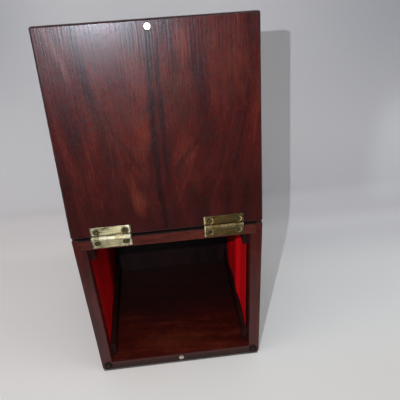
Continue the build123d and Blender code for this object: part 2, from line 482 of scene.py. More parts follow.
class Brushing(Effect):
    """Fine lines along X, as a brush or a belt leaves them in metal."""

    title = "Brushing"
    takes = {"Place": ORIGIN}
    gives = ("Lines", "Height")

    @classmethod
    def draw(cls, graph: Graph, given: Wires) -> Wires:
        """Draws broad lines for the colour and fine ones for the height."""
        lines = given["Place"].noise((0.05, 1.4, 1.4), detail=3.0, roughness=0.7)
        return {"Lines": lines.ramp(0.42, 0.62), "Height": given["Place"].noise((0.05, 9.0, 9.0))}


class Weave(Effect):
    """Plain cloth weave with slubs, read from a flat place in mm."""

    title = "Weave"
    takes = {"Place": ORIGIN, "Threads": 2.6}
    gives = ("Slub", "Height")

    @classmethod
    def draw(cls, graph: Graph, given: Wires) -> Wires:
        """Draws the weave.

        Args:
            graph: The group's graph.
            given: The group's inputs.

        Returns:
            Slub tone and height.
        """
        place = given["Place"]
        u, v, _ = place.parts()
        moved = place.noise(0.5, detail=1.0) * 0.5
        turns = given["Threads"] * (2.0 * math.pi)
        warp, weft = (graph.maths("SINE", (thread + moved) * turns) for thread in (u, v))
        lying = place.noise((0.25, 2.2, 1.0), detail=3.0, roughness=0.6)
        upright = place.noise((2.2, 0.25, 1.0), detail=3.0, roughness=0.6)
        slub = (upright * 0.5 + lying * 0.5).ramp(0.35, 0.65)
        return {"Slub": slub, "Height": slub * 0.4 + (warp * weft * 0.5 + 0.5)}


# ---------------------------------------------------------------------------- finishes
class Grain(Enum):
    """Which way a board's grain runs, as the turn that stands it along Z."""

    ALONG_X = (0.0, 90.0, 0.0)
    ALONG_Y = (90.0, 0.0, 0.0)
    ALONG_Z = (0.0, 0.0, 0.0)
    ALONG_LID = (9.0, 0.0, 0.0)


@dataclass(frozen=True)
class Finish:
    """A finish, which makes one material."""

    name: str

    def material(self) -> bpy.types.Material:
        """Makes the material.

        Returns:
            The new material.
        """
        material = bpy.data.materials.new(self.name)
        material.use_nodes = True
        material.node_tree.nodes.clear()
        graph = Graph(material.node_tree)
        graph.node("OutputMaterial", {"Surface": self.surface(graph)})
        return material

    def surface(self, graph: Graph) -> Wire:
        """Draws the shader; each finish has its own."""
        raise NotImplementedError

    def place(self, graph: Graph, turn: Triple = ORIGIN, start: Triple = ORIGIN) -> Wire:
        """Gives the place on the piece in mm.

        Args:
            graph: The material's graph.
            turn: Degrees about X, Y and Z.
            start: What to add, in mm.

        Returns:
            The place.
        """
        here = graph.add("TexCoord", output="Object")
        turned = graph.add("Mapping", {"Vector": here, "Rotation": radians(turn), "Scale": (1 / MM,) * 3})
        return turned + start


@dataclass(frozen=True)
class WoodFinish(Finish):
    """Dark red hardwood under a thin satin lacquer; its start, pith and ring width are in mm."""

    grain: Grain = Grain.ALONG_Z
    start: Triple = ORIGIN
    pith: Triple = (0.0, 30.0, 0.0)
    pith_tilt: float = 6.0
    ring_width: float = 7.0
    rings: float = 0.4
    figure: float = 0.45
    pores: float = 0.7
    dark: Colour = tint(0.0130, 0.0026, 0.0026)
    body: Colour = tint(0.0560, 0.0036, 0.0027)
    light: Colour = tint(0.1120, 0.0125, 0.0078)
    edge_reach: float = 1.2 * MM
    edge_broken: float = 0.30
    # Partly a darker stain, partly painted shade on the rounded edges.
    edge_stain_and_shade: Colour = tint(0.22, 0.209, 0.209)
    edge_rough: float = 0.55
    pore_rough: float = 0.13
    smears: float = 0.16
    rough: float = 0.310
    relief: float = 0.16 * MM
    relief_share: float = 0.55
    gloss: float = 0.45
    sheen: Colour = tint(1.0, 1.0, 1.0)

    def facing(self, graph: Graph) -> Wire:
        """Gives the way the surface faces, turned square with the board."""
        outwards = {"Vector": graph.add("TexCoord", output="Normal"), "Rotation": radians(self.grain.value)}
        return graph.add("Mapping", outwards, vector_type="VECTOR")

    def marks(self, graph: Graph, colour: Wire, place: Wire) -> Wire:
        """Adds a board's own marks; a plain board has none."""
        return colour

    def surface(self, graph: Graph) -> Wire:
        """Draws the lacquered wood.

        Args:
            graph: The material's graph.

        Returns:
            The shader.
        """
        board = self.place(graph, self.grain.value, self.start)
        tilt = radians((self.pith_tilt, 0.0, 0.0))
        tilted = graph.add("Mapping", {"Vector": board, "Location": self.pith, "Rotation": tilt})
        timber = Timber.place(graph, place=tilted, face=board, ring_width=self.ring_width, rings=self.rings,
                              figure=self.figure, pores=self.pores, dark=self.dark, body=self.body,
                              light=self.light)
        colour = self.marks(graph, timber["Color"], board)
        edge = Edges.place(graph, place=board, facing=self.facing(graph), reach=self.edge_reach,
                           broken=self.edge_broken)["Mask"]
        # Rounded edges darkened: partly a darker stain, partly painted shade.
        stained_and_shaded_edge = graph.blend(1.0, colour, self.edge_stain_and_shade, "MULTIPLY")
        smears = Handling.place(graph, place=board, amount=self.smears)["Rough"]
        rough = timber["Pore"] * self.pore_rough + (edge * self.edge_rough + self.rough) + smears
        normal = timber["Height"].bump(self.relief_share, self.relief)
        return graph.shader(base_color=graph.blend(edge, colour, stained_and_shaded_edge), roughness=rough, normal=normal,
                            specular_ior_level=self.gloss, specular_tint=self.sheen)


@dataclass(frozen=True)
class DeepFinish(WoodFinish):
    """A board with painted shade that darkens it the further it is from the rim, and painted shade on its rim face."""

    rim_mm: float = -69.0
    deep_mm: float = 10.0
    # The colour named stain is painted shade, strongest far inside the box.
    stain: Colour = tint(0.0140, 0.0060, 0.0062)
    deep_shade_share: float = 0.75
    warm: Colour = tint(0.1200, 0.0230, 0.0085)
    warm_share: float = 0.42
    rim_shade: Colour = tint(0.0150, 0.0036, 0.0028)
    rim_top_tone: Colour = tint(0.0620, 0.0110, 0.0080)
    rim_share: float = 0.70

    def marks(self, graph: Graph, colour: Wire, place: Wire) -> Wire:
        """Paints shade on the inside and on the rim face.

        Args:
            graph: The material's graph.
            colour: The wood's colour.
            place: The place along the grain, in mm.

        Returns:
            The colour with its painted shade.
        """
        here = self.place(graph)
        _, along, up = here.parts()
        warm = Patch.place(graph, place=here, centre=(-6.0, -50.0, 10.0), reach=(46.0, 15.0, 12.0))["Mask"]
        colour = graph.blend(warm * self.warm_share, colour, self.warm)
        # Painted shade on the rim face: dark over its lower part, lighter along its top edge.
        rim = graph.blend(up.ramp(6.4, 8.6), self.rim_shade, self.rim_top_tone)
        on_rim = along.ramp(self.rim_mm + 1.2, self.rim_mm + 0.2, 0.0, self.rim_share)
        colour = graph.blend(on_rim, colour, rim)
        # Painted shade: the board darker the further it lies from the rim.
        far = (place.noise((0.05, 0.05, 0.03)) - 0.5) * 26.0 + along
        stained = far.ramp(self.rim_mm + 25.0, self.deep_mm, 0.0, self.deep_shade_share)
        return graph.blend(stained, colour, self.stain)


@dataclass(frozen=True)
class SeamFinish(WoodFinish):
    """A board with painted shade along its joint with the lid."""

    joint_mm: Pair = (-66.0, 153.5)
    # The colour named grime is painted shade in the gap under the lid.
    grime: Colour = tint(0.0045, 0.0022, 0.0022)
    joint_shade_share: float = 0.92

    def marks(self, graph: Graph, colour: Wire, place: Wire) -> Wire:
        """Paints shade on the edge under the lid.

        Args:
            graph: The material's graph.
            colour: The wood's colour.
            place: Not used.

        Returns:
            The colour with its painted shade.
        """
        _, back, up = self.place(graph).parts()
        near = back.ramp(self.joint_mm[0] + 8.0, self.joint_mm[0])
        top = up.ramp(self.joint_mm[1] - 0.7, self.joint_mm[1])
        # Painted shade in the gap under the lid.
        return graph.blend(near * top * self.joint_shade_share, colour, self.grime)


@dataclass(frozen=True)
class Spot:
    """A soft patch on the lid, in mm from the middle of its hinge edge."""

    across: float
    along: float
    half_width: float
    half_length: float
    share: float
    colour: Colour = tint(0.150, 0.0240, 0.0090)
    half_depth: float = 30.0

    def paint(self, graph: Graph, colour: Wire, place: Wire) -> Wire:
        """Lays the patch over the board's colour at a place on it."""
        mask = Patch.place(graph, place=place, centre=(self.across, 0.0, self.along),
                           reach=(self.half_width, self.half_depth, self.half_length))["Mask"]
        return graph.blend(mask * self.share, colour, self.colour)


@dataclass(frozen=True)
class Vein:
    """A streak along the lid's grain, in mm from the middle of its hinge edge."""

    centre: float
    middle: float
    width: float
    bottom: float
    top: float
    share: float
    lean: float = 0.0
    bow: float = 0.0
    fade: float = 22.0
    colour: Colour = tint(0.0120, 0.0022, 0.0018)

    def paint(self, graph: Graph, colour: Wire, place: Wire, shift: float) -> Wire:
        """Lays the streak over the board's colour.

        Args:
            graph: The material's graph.
            colour: The colour so far.
            place: The place along the lid, in mm.
            shift: Which ragged outline it has.

        Returns:
            The new colour.
        """
        mask = Streak.place(graph, place=place, centre=self.centre, lean=self.lean, bow=self.bow,
                            middle=self.middle, width=self.width, bottom=self.bottom, top=self.top,
                            fade=self.fade, shift=shift)["Mask"]
        return graph.blend(mask * self.share, colour, self.colour)


@dataclass(frozen=True)
class LidFinish(WoodFinish):
    """The lid's board: dark heart streaks, a pale sap flare, patches that catch the light and painted shade towards its
    hinge edge.
    """

    lid_shade: Colour = tint(0.0120, 0.0022, 0.0018)
    shade_mm: Pair = (10.0, 80.0)
    shade_share: float = 0.46
    foot_mm: Pair = (1.8, 0.7)
    foot_shade_share: float = 0.70
    spots: tuple[Spot, ...] = (
        Spot(-19.0, 27.0, 7.0, 15.0, 0.55), Spot(-23.0, 44.0, 6.0, 18.0, 0.30), Spot(19.0, 62.0, 9.0, 16.0, 0.30),
        Spot(24.0, 40.0, 6.0, 14.0, 0.22), Spot(21.0, 137.0, 6.0, 18.0, 0.80), Spot(22.0, 116.0, 10.0, 10.0, 0.34),
        Spot(54.0, 122.0, 20.0, 34.0, 0.36), Spot(-24.0, 95.0, 22.0, 60.0, 0.22),
        Spot(-12.0, 80.0, 8.0, 40.0, 0.25), Spot(-11.0, 128.0, 8.0, 22.0, 0.50),
        Spot(16.0, 105.0, 11.0, 38.0, 0.72, tint(0.0520, 0.0105, 0.0036)))
    flare: Vein = Vein(-61.0, 137.0, 5.0, 112.0, 150.0, 0.45, -0.31, fade=16.0, colour=tint(0.150, 0.0500, 0.0430))
    flare_shift: float = 3.0
    veins: tuple[Vein, ...] = (
        Vein(-3.0, 66.0, 4.2, -20.0, 160.0, 0.78, bow=0.00050), Vein(3.9, 80.0, 3.4, 28.0, 122.0, 0.72),
        Vein(-45.0, 110.0, 6.0, 90.0, 150.0, 0.60, -0.06), Vein(-38.0, 75.0, 9.0, 40.0, 96.0, 0.42, -0.10),
        Vein(17.0, 57.0, 5.0, 36.0, 66.0, 0.48, 0.80), Vein(-14.0, 50.0, 3.5, 30.0, 66.0, 0.32, -0.55),
        Vein(-25.0, 60.0, 2.5, 30.0, 90.0, 0.26, -0.30), Vein(34.0, 100.0, 8.0, 60.0, 120.0, 0.34, -0.10))

    def marks(self, graph: Graph, colour: Wire, place: Wire) -> Wire:
        """Adds the lid's streaks and patches and its painted shade.

        Args:
            graph: The material's graph.
            colour: The wood's colour.
            place: The place along the lid from its hinge edge, in mm.

        Returns:
            The marked colour.
        """
        along = place.parts()[2]
        # Painted shade: the lid darker towards its hinge edge.
        colour = graph.blend(along.ramp(*self.shade_mm, self.shade_share, 0.0), colour, self.lid_shade)
        for spot in self.spots:
            colour = spot.paint(graph, colour, place)
        colour = self.flare.paint(graph, colour, place, self.flare_shift)
        for number, vein in enumerate(self.veins):
            colour = vein.paint(graph, colour, place, float(number))
        # Painted shade along the lid's foot, over the gap at the hinge.
        return graph.blend(along.ramp(*self.foot_mm, 0.0, self.foot_shade_share), colour, self.lid_shade)


@dataclass(frozen=True)
class BrassFinish(Finish):
    """Brushed brass that has dulled a little, lightened on its edges, leaf ends and knuckles partly as polish and
    partly as painted highlight; its lengths are in mm.
    """

    base: Colour = tint(0.300, 0.265, 0.158)
    tarnish: Colour = tint(0.060, 0.050, 0.018)
    # Partly polish, partly painted highlight.
    polish_and_highlight: Colour = tint(0.460, 0.425, 0.320)
    # The colour named grime is painted shade in the crease beside the barrel and the dark lines at the knuckle joints.
    grime: Colour = tint(0.022, 0.017, 0.007)
    axis: Pair = (-69.95, 154.9)
    centre: float = 44.0
    length: float = 31.0
    knuckles: int = 5
    barrel: float = 1.75
    screw_place: Pair = (11.26, 5.0)
    sink_radius: float = 3.1
    sink_depth: float = 0.17
    brush_depth: float = 0.012
    streaks: float = 0.85
    joints: float = 0.7
    rough: float = 0.41
    dull_rough: float = 0.12
    smears: float = 0.2
    brushed: float = 0.95

    def surface(self, graph: Graph) -> Wire:
        """Draws the brass.

        Args:
            graph: The material's graph.

        Returns:
            The shader.
        """
        place = self.place(graph)
        across, back, up = place.parts()
        from_middle = abs(across) - self.centre
        above = up - self.axis[1]
        from_axis = graph.length(back - self.axis[0], above)
        from_end = from_middle + self.length / 2
        to_end = graph.maths("PINGPONG", from_end, self.length / 2)
        brushing = Brushing.place(graph, place=place)
        stain = place.noise(0.22, detail=4.0, roughness=0.6, distortion=0.6)
        dull = (brushing["Lines"] * self.streaks + stain.ramp(0.42, 0.72, -0.15, 0.5)).clamped()
        colour = graph.blend(dull, self.base, self.tarnish)

        # Partly polish, partly painted highlight: edges, leaf ends and knuckles lightened.
        on_barrel = from_axis.ramp(self.barrel + 0.35, self.barrel + 0.05)
        count = from_end / (self.length / self.knuckles)
        own = graph.add("TexWhiteNoise", {"W": graph.maths("FLOOR", count)}, "Value", noise_dimensions="1D")
        edge = Edges.place(graph, place=place, reach=0.4 * MM, broken=0.3)["Mask"]
        bright_ends = to_end.ramp(5.0, 0.5, 0.0, 0.9) * stain.ramp(0.66, 0.4)
        rubbed_and_highlit = graph.largest(edge * 0.8, bright_ends, on_barrel * own.ramp(0.0, 1.0, 0.0, 0.6))
        colour = graph.blend(rubbed_and_highlit, colour, self.polish_and_highlight)

        # Painted shade in the crease between barrel and leaf, darkest above the pin, and dark lines at the knuckle
        # joints.
        joint = graph.maths("PINGPONG", count, 0.5).ramp(0.06, 0.02)
        past_barrel = from_axis.ramp(self.barrel + 0.05, self.barrel + 0.45)
        crease_shade = past_barrel * from_axis.ramp(self.barrel + 1.5, self.barrel + 0.8)
        crease_shade_and_joints = graph.largest(crease_shade * above.ramp(-0.5, 0.5, 0.35, 0.9), joint * (on_barrel * self.joints))
        colour = graph.blend(crease_shade_and_joints, colour, self.grime)

        smears = Handling.place(graph, place=place, amount=self.smears)["Rough"]
        from_screw = graph.length(abs(from_middle) - self.screw_place[0], abs(above) - self.screw_place[1])
        sunk = from_screw.ramp(self.sink_radius, self.sink_radius - 0.9) * -self.sink_depth
        eased = to_end.ramp(0.9, 0.0, 0.0, -self.sink_depth)
        relief = brushing["Height"] * self.brush_depth + (sunk + eased)
        tangent = graph.add("Tangent", direction_type="RADIAL", axis="X")
        return graph.shader(base_color=colour, metallic=1.0, roughness=dull * self.dull_rough + self.rough + smears,
                            normal=relief.bump(1.0, MM), anisotropic=self.brushed, tangent=tangent)


@dataclass(frozen=True)
class ScrewFinish(Finish):
    """Small brass screws, darker than the leaves, with patchy grime."""

    base: Colour = tint(0.30, 0.25, 0.09)
    grime: Colour = tint(0.022, 0.019, 0.008)
    # Partly rubbed brass, partly painted highlight on the screws' edges.
    rubbed_and_highlit: Colour = tint(0.70, 0.62, 0.40)

    def surface(self, graph: Graph) -> Wire:
        """Draws the screws' brass.

        Args:
            graph: The material's graph.

        Returns:
            The shader.
        """
        place = self.place(graph)
        stain = place.noise(0.9, detail=4.0, roughness=0.6)
        colour = graph.blend(stain.ramp(0.38, 0.62), self.base, self.grime)
        edge = Edges.place(graph, place=place, reach=0.35 * MM, broken=0.7)["Mask"]
        # Partly rubbed brass, partly painted highlight on the screws' edges.
        colour = graph.blend(edge * 0.8, colour, self.rubbed_and_highlit)
        return graph.shader(base_color=colour, metallic=1.0, roughness=stain.ramp(0.3, 0.7, 0.38, 0.6))


@dataclass(frozen=True)
class MagnetFinish(Finish):
    """Bright nickel plate on a disc magnet."""

    plate: Colour = tint(0.62, 0.56, 0.54)
    stained: Colour = tint(0.42, 0.37, 0.35)
    rough: float = 0.36

    def surface(self, graph: Graph) -> Wire:
        """Draws the nickel.

        Args:
            graph: The material's graph.

        Returns:
            The shader.
        """
        place = self.place(graph)
        smears = Handling.place(graph, place=place, amount=0.25)["Rough"]
        stain = place.noise(0.5, detail=4.0, roughness=0.6)
        colour = graph.blend(stain.ramp(0.45, 0.75), self.plate, self.stained)
        return graph.shader(base_color=colour, metallic=1.0, roughness=smears + self.rough)


@dataclass(frozen=True)
class RubberFinish(Finish):
    """Black rubber pads with a painted reddish highlight in the dish of each; their middle and dish are in mm."""

    middle: Pair = (0.0, 0.0)
    dish: float = 2.2
    ring: tuple[Colour, Colour] = (tint(0.0050, 0.0036, 0.0036), tint(0.0140, 0.0085, 0.0080))
    middle_highlight: tuple[Colour, Colour] = (tint(0.0350, 0.0120, 0.0100), tint(0.0640, 0.0260, 0.0210))

    def surface(self, graph: Graph) -> Wire:
        """Draws the rubber.

        Args:
            graph: The material's graph.

        Returns:
            The shader.
        """
        place = self.place(graph)
        grain = place.noise(0.7, detail=4.0, roughness=0.65)
        across, _, up = place.parts()
        from_middle = graph.length(abs(across) - self.middle[0], up - self.middle[1])
        ragged = (grain - 0.5) * 2.0 + from_middle
        ring = graph.blend(grain.ramp(0.35, 0.75), *self.ring)
        highlit_middle = graph.blend(grain.ramp(0.35, 0.70), *self.middle_highlight)
        # Painted highlight: a lighter, reddish middle in each pad's dish.
        colour = graph.blend(ragged.ramp(self.dish, self.dish * 0.5), ring, highlit_middle)
        return graph.shader(base_color=colour, roughness=0.62, normal=grain.bump(0.4, 0.1 * MM),
                            specular_ior_level=0.1)


@dataclass(frozen=True)
class PaintedLightBand:
    """A band of painted light down the cloth, in mm from the sheet's near edge; when its flag is off, it paints shade.
    """

    depth: float
    reach: float
    share: float
    lean: float = 0.0
    painted_light: bool = True


@dataclass(frozen=True)
class ClothFinish(Finish):
    """Deep red lining cloth, with bands of painted light and shade."""

    base: Colour = tint(0.350, 0.0022, 0.0045)
    # Also the colour of the bands' painted shade.
    shade: Colour = tint(0.200, 0.0012, 0.0024)
    # The colour of the bands' painted light.
    painted_light: Colour = tint(0.640, 0.0046, 0.0085)
    size_mm: Pair = (119.5, 101.5)
    near_mm: float = -60.75
    middle_mm: float = 77.0
    slub_share: float = 0.4
    bands: tuple[PaintedLightBand, ...] = ()

    def surface(self, graph: Graph) -> Wire:
        """Draws the cloth.

        Args:
            graph: The material's graph.

        Returns:
            The shader.
        """
        flat = graph.add("TexCoord", output="UV") * (*self.size_mm, 1.0)
        weave = Weave.place(graph, place=flat)
        colour = graph.blend(weave["Slub"] * self.slub_share, self.base, self.shade)
        _, back, up = self.place(graph).parts()
        along = back - self.near_mm
        height = up - self.middle_mm
        # Painted light and shade: bands that stand in for the lit fold crests, the hinge wall's shadow and the darker
        # ends of the lining; brushed holds each band's share.
        for band in self.bands:
            off = abs(along - (height * band.lean + band.depth))
            brushed = off.ramp(band.reach, 0.0, 0.0, band.share)
            colour = graph.blend(brushed, colour, self.painted_light if band.painted_light else self.shade)
        return graph.shader(base_color=colour, roughness=0.75, diffuse_roughness=0.8,
                            normal=weave["Height"].bump(0.35, 0.10 * MM), specular_ior_level=0.05)


@dataclass(frozen=True)
class PaperFinish(Finish):
    """Pale backdrop paper with painted light and shade across it: painted greyer up the wall, with painted shade in its
    upper corners and painted light at its right fringe; clear when seen from behind; pairs are left and right.
    """

    near: Colour = tint(0.575, 0.568, 0.570)
    far: tuple[Colour, Colour] = (tint(0.628, 0.608, 0.614), tint(0.632, 0.646, 0.668))
    brink: tuple[Colour, Colour] = (tint(0.598, 0.576, 0.586), tint(0.540, 0.548, 0.588))
    turn: tuple[Colour, Colour] = (tint(0.568, 0.548, 0.568), tint(0.484, 0.490, 0.532))
    lift: tuple[Colour, Colour] = (tint(0.616, 0.600, 0.624), tint(0.545, 0.550, 0.598))
    foot: Colour = tint(0.636, 0.638, 0.678)
    upright: Colour = tint(0.548, 0.554, 0.592)
    # Painted shade in the wall's upper corners.
    corner: Colour = tint(0.365, 0.378, 0.430)
    fringe_light: Colour = tint(0.636, 0.652, 0.690)
    contact_shadow: Colour = tint(0.045, 0.037, 0.038)
    fibres: Colour = tint(0.5, 0.5, 0.5)
    foot_mm: Pair = (75.0, -69.0)

    def surface(self, graph: Graph) -> Wire:
        """Draws the paper.

        Args:
            graph: The material's graph.

        Returns:
            The shader.
        """
        place = self.place(graph)
        across, along, up = place.parts()
        # Painted light and shade: the paper's tones follow how light falls over the floor, the turn and the wall.
        right = across.ramp(60.0, 300.0) * up.ramp(90.0, 330.0, 0.10, 1.1)
        left = across.ramp(-70.0, -210.0) * up.ramp(160.0, 300.0, 0.0, 1.1)
        rightwards = across.ramp(-40.0, 90.0)
        foot = graph.blend(rightwards * 0.75, self.foot, self.upright)
        wall = graph.blend(up.ramp(50.0, 215.0), foot, self.upright)
        wall = graph.blend((right + left).clamped(), wall, self.corner)
        steps = ((along, -140.0, -20.0, self.far), (along, 30.0, 112.0, self.brink), (up, 0.5, 12.0, self.turn),
                 (up, 12.0, 38.0, self.lift))
        tone = self.near
        for way, start, end, pair in steps:
            tone = graph.blend(way.ramp(start, end), tone, graph.blend(rightwards, *pair))
        tone = graph.blend(up.ramp(36.0, 58.0), tone, wall)
        # Painted light along the right fringe.
        fringe_light = across.ramp(252.0, 296.0) * up.ramp(190.0, 110.0) * up.ramp(4.0, 55.0)
        tone = graph.blend(fringe_light, tone, self.fringe_light)
        # Painted shadow: a dark line along the foot of the box.
        tone = graph.blend(self.under(across, along), tone, self.contact_shadow)
        fibre = place.noise(0.4, detail=3.0, roughness=0.6)
        colour = graph.blend(fibre.ramp(0.3, 0.7, 0.0, 0.06), tone, self.fibres)
        paper = graph.shader(base_color=colour, roughness=0.9, specular_ior_level=0.1)
        behind = graph.add("NewGeometry", output="Backfacing")
        return graph.add("MixShader", {0: behind, 1: paper, 2: graph.add("BsdfTransparent")})

    def under(self, across: Wire, along: Wire) -> Wire:
        """Masks the painted contact shadow along the foot of the box.

        Args:
            across: The place from side to side, in mm.
            along: The place from front to back, in mm.

        Returns:
            The mask.
        """
        side, rim = self.foot_mm
        line = along.ramp(rim - 1.5, rim - 0.8) * abs(across).ramp(side - 0.4, side - 2.0)
        return line * along.ramp(rim + 6.0, rim + 3.0, 0.0, 0.92)


# ---------------------------------------------------------------------------- hand tools
def dress(finish: Finish, *nodes: str) -> None:
    """Gives CAD nodes their finish.

    Args:
        finish: The finish, which makes one material for all of them.
        *nodes: The nodes' names.
    """
    material = finish.material()
    for node in nodes:
        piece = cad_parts[node]
        if not piece.material_slots:
            piece.data.materials.append(material)
        for slot in piece.material_slots:
            slot.material = material
        log.info("dressed %s in %s", node, material.name)


def corners(node: str) -> tuple[Vector, Vector]:
    """Gives the lowest and the highest corner of a CAD node's box."""
    low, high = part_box(node)
    return Vector(low), Vector(high)


def start_piece(name: str, primitive: Callable[..., set[str]], **settings: object) -> bpy.types.Object:
    """Adds a primitive with nothing else selected.

    Args:
        name: The new piece's name.
        primitive: The operator that adds it.
        **settings: The operator's settings.

    Returns:
        The piece.
    """
    bpy.ops.object.select_all(action="DESELECT")
    primitive(**settings)
    piece = bpy.context.object
    piece.name = name
    return piece


def settle() -> None:
    """Moves the selected piece's place, turn and scale into its mesh."""
    bpy.ops.object.transform_apply(location=True, rotation=True, scale=True)


def pick(piece: bpy.types.Object, kind: str, test: Callable[[Vector], bool]) -> None:
    """Selects the vertices, edges or faces of a piece in edit mode by their place.

    Args:
        piece: The piece, active.
        kind: VERT, EDGE or FACE.
        test: True for a centre that is wanted, in the row frame.
    """
    bpy.ops.object.mode_set(mode="EDIT")
    bpy.ops.mesh.select_mode(type=kind)
    bpy.ops.mesh.select_all(action="DESELECT")
    bpy.ops.object.mode_set(mode="OBJECT")
    mesh = piece.data
    places = [piece.matrix_world @ vertex.co for vertex in mesh.vertices]
    for element in {"VERT": mesh.vertices, "EDGE": mesh.edges, "FACE": mesh.polygons}[kind]:
        ends = [element.index] if kind == "VERT" else list(element.vertices)
        element.select = test(sum((places[end] for end in ends), Vector()) / len(ends))
    bpy.ops.object.mode_set(mode="EDIT")


# ---------------------------------------------------------------------------- sub-assemblies
@dataclass
class Carcass:
    """The five boards of the box."""

    left: WoodFinish = WoodFinish("wood_left_wall", pith=(18.0, 46.0, 0.0), pith_tilt=4.0, gloss=0.36)
    right: WoodFinish = WoodFinish("wood_right_wall", pith=(-22.0, 52.0, 130.0), pith_tilt=-5.0, gloss=0.30)
    hinge: WoodFinish = SeamFinish(
        "wood_hinge_wall", grain=Grain.ALONG_X, pith=(35.0, 60.0, 20.0), dark=tint(0.0170, 0.0048, 0.0040),
        body=tint(0.0730, 0.0120, 0.0085), light=tint(0.1250, 0.0240, 0.0150), gloss=0.20)
    front: WoodFinish = DeepFinish(
        "wood_front_wall", grain=Grain.ALONG_X, pith=(-12.0, 38.0, 60.0), figure=0.7,
        body=tint(0.0430, 0.0044, 0.0026), light=tint(0.0900, 0.0140, 0.0066), gloss=0.25)
    # Painted shade: the base panel's wood is much darker and greyer than the other boards, as deep inside the box.
    base: WoodFinish = WoodFinish(
        "wood_base_panel", pith=(8.0, -40.0, 40.0), dark=tint(0.0050, 0.0032, 0.0040),
        body=tint(0.0185, 0.0068, 0.0080), light=tint(0.0380, 0.0110, 0.0116), gloss=0.25, rough=0.45)

    def build(self) -> None:
        """Finishes each board with its own run of the grain."""
        for finish in (self.left, self.right, self.hinge, self.front, self.base):
            dress(finish, finish.name.removeprefix("wood_"))


@dataclass
class Lid:
    """The one-board lid."""

    board: LidFinish = LidFinish(
        "wood_lid", grain=Grain.ALONG_LID, start=(0.0, 92.4, -143.0), pith=(1.0, 50.0, 0.0), pith_tilt=17.0,
        ring_width=7.5, rings=0.40, figure=0.36, pores=1.0, dark=tint(0.0110, 0.0018, 0.0016),
        body=tint(0.0560, 0.0034, 0.0016), light=tint(0.1150, 0.0125, 0.0064), rough=0.285, gloss=0.52,
        sheen=tint(0.90, 0.97, 1.10))

    def build(self) -> None:
        """Finishes the lid."""
        dress(self.board, "lid_panel")


@dataclass
class Hinges:
    """The two butt hinges with their pins and screws."""

    # The two hinges are lit and shaded copies of one brass: the left paler as painted highlight, the right darker and
    # more olive as painted shade.
    left: BrassFinish = BrassFinish("brass_left_painted_highlight")
    right: BrassFinish = BrassFinish("brass_right_painted_shade", base=tint(0.315, 0.220, 0.082),
                                     tarnish=tint(0.120, 0.076, 0.020), polish_and_highlight=tint(0.440, 0.360, 0.210), joints=0.35)
    screws: ScrewFinish = ScrewFinish("screw_brass")

    def build(self) -> None:
        """Finishes leaves, pins and screws."""
        for side, brass in (("left", self.left), ("right", self.right)):
            dress(brass, f"{side}_box_leaf", f"{side}_lid_leaf", f"{side}_hinge_pin")
        dress(self.screws, "box_screws", "lid_screws")


@dataclass
class MagnetCatch:
    """The two disc magnets that hold the lid shut."""

    nickel: MagnetFinish = MagnetFinish("nickel_plate")

    def build(self) -> None:
        """Finishes the magnets."""
        dress(self.nickel, "rim_magnet", "lid_magnet")


@dataclass
class CornerPads:
    """The two rubber pads on the rim's lower corners, each a low cone with a dished top."""

    segments: int = 40
    top_share: float = 0.80
    dish_insets: Triple = (1.0 * MM, 0.5 * MM, 0.6 * MM)
    dish_step: float = 0.21 * MM
    round_over: float = 0.30 * MM
    round_from: float = math.radians(28.0)
    smooth_to: float = math.radians(40.0)

    def build(self) -> None:
        """Models one pad and copies it to the other corner."""
        left, right = corners("left_corner_pad"), corners("right_corner_pad")
        pad = self.model(*left)
        twin = pad.copy()
        twin.data = pad.data.copy()
        twin.name = "right_rubber_pad"
        bpy.context.scene.collection.objects.link(twin)
        bpy.ops.object.select_all(action="DESELECT")
        twin.select_set(True)
        bpy.context.view_layer.objects.active = twin
        twin.location = (sum(right, Vector()) - sum(left, Vector())) / 2
        settle()
        middle = sum(right, Vector()) / (2 * MM)
        rubber = RubberFinish("rubber", middle=(middle.x, middle.z)).material()
        for side, piece in (("left", pad), ("right", twin)):
            piece.data.materials.append(rubber)
            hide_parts(f"{side}_corner_pad")
            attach(piece, "box")
            log.info("%s is on its corner", piece.name)

    def model(self, low: Vector, high: Vector) -> bpy.types.Object:
        """Models the left pad in the space of its CAD solid.

        Args:
            low: The space's lowest corner.
            high: Its highest corner.

        Returns:
            The pad.
        """
        middle = (low + high) / 2
        pad = start_piece("left_rubber_pad", bpy.ops.mesh.primitive_cylinder_add, vertices=self.segments,
                          radius=(high.x - low.x) / 2, depth=high.y - low.y, location=middle,
                          rotation=radians((90.0, 0.0, 0.0)))
        settle()
        pick(pad, "FACE", lambda centre: centre.y < low.y + 0.01 * MM)
        bpy.ops.transform.resize(value=(self.top_share, 1.0, self.top_share),
                                 center_override=(middle.x, low.y, middle.z))
        for inset, step in zip(self.dish_insets, (self.dish_step, self.dish_step, 0.0)):
            bpy.ops.mesh.inset(thickness=inset)
            bpy.ops.transform.translate(value=(0.0, step, 0.0))
        bpy.ops.mesh.poke()
        bpy.ops.object.mode_set(mode="OBJECT")
        rounding = pad.modifiers.new("rounding", "BEVEL")
        rounding.width = self.round_over
        rounding.segments = 3
        rounding.limit_method = "ANGLE"
        rounding.angle_limit = self.round_from
        bpy.ops.object.modifier_apply(modifier="rounding")
        bpy.ops.object.shade_smooth_by_angle(angle=self.smooth_to)
        return pad


@dataclass
class Battens:
    """The four dark strips that frame the linings."""

    ebony: WoodFinish = WoodFinish(
        "ebonised_batten", grain=Grain.ALONG_Y, pith=(3.0, 20.0, 0.0), dark=tint(0.0065, 0.0018, 0.0016),
        body=tint(0.0200, 0.0046, 0.0038), light=tint(0.0400, 0.0095, 0.0072), gloss=0.12, rough=0.50)

    def build(self) -> None:
        """Finishes the strips."""
        dress(self.ebony, "left_front_batten", "left_hinge_batten", "right_front_batten", "right_hinge_batten")


class Side(Enum):
    """The two sides of the box, as the sign of x."""

    LEFT = -1
    RIGHT = 1


@dataclass(frozen=True)
class Fold:
    """One soft ridge or hollow down a lining, in mm from the sheet's near edge."""

    depth: float
    reach: float
    rise: float
    lean: float = 0.0


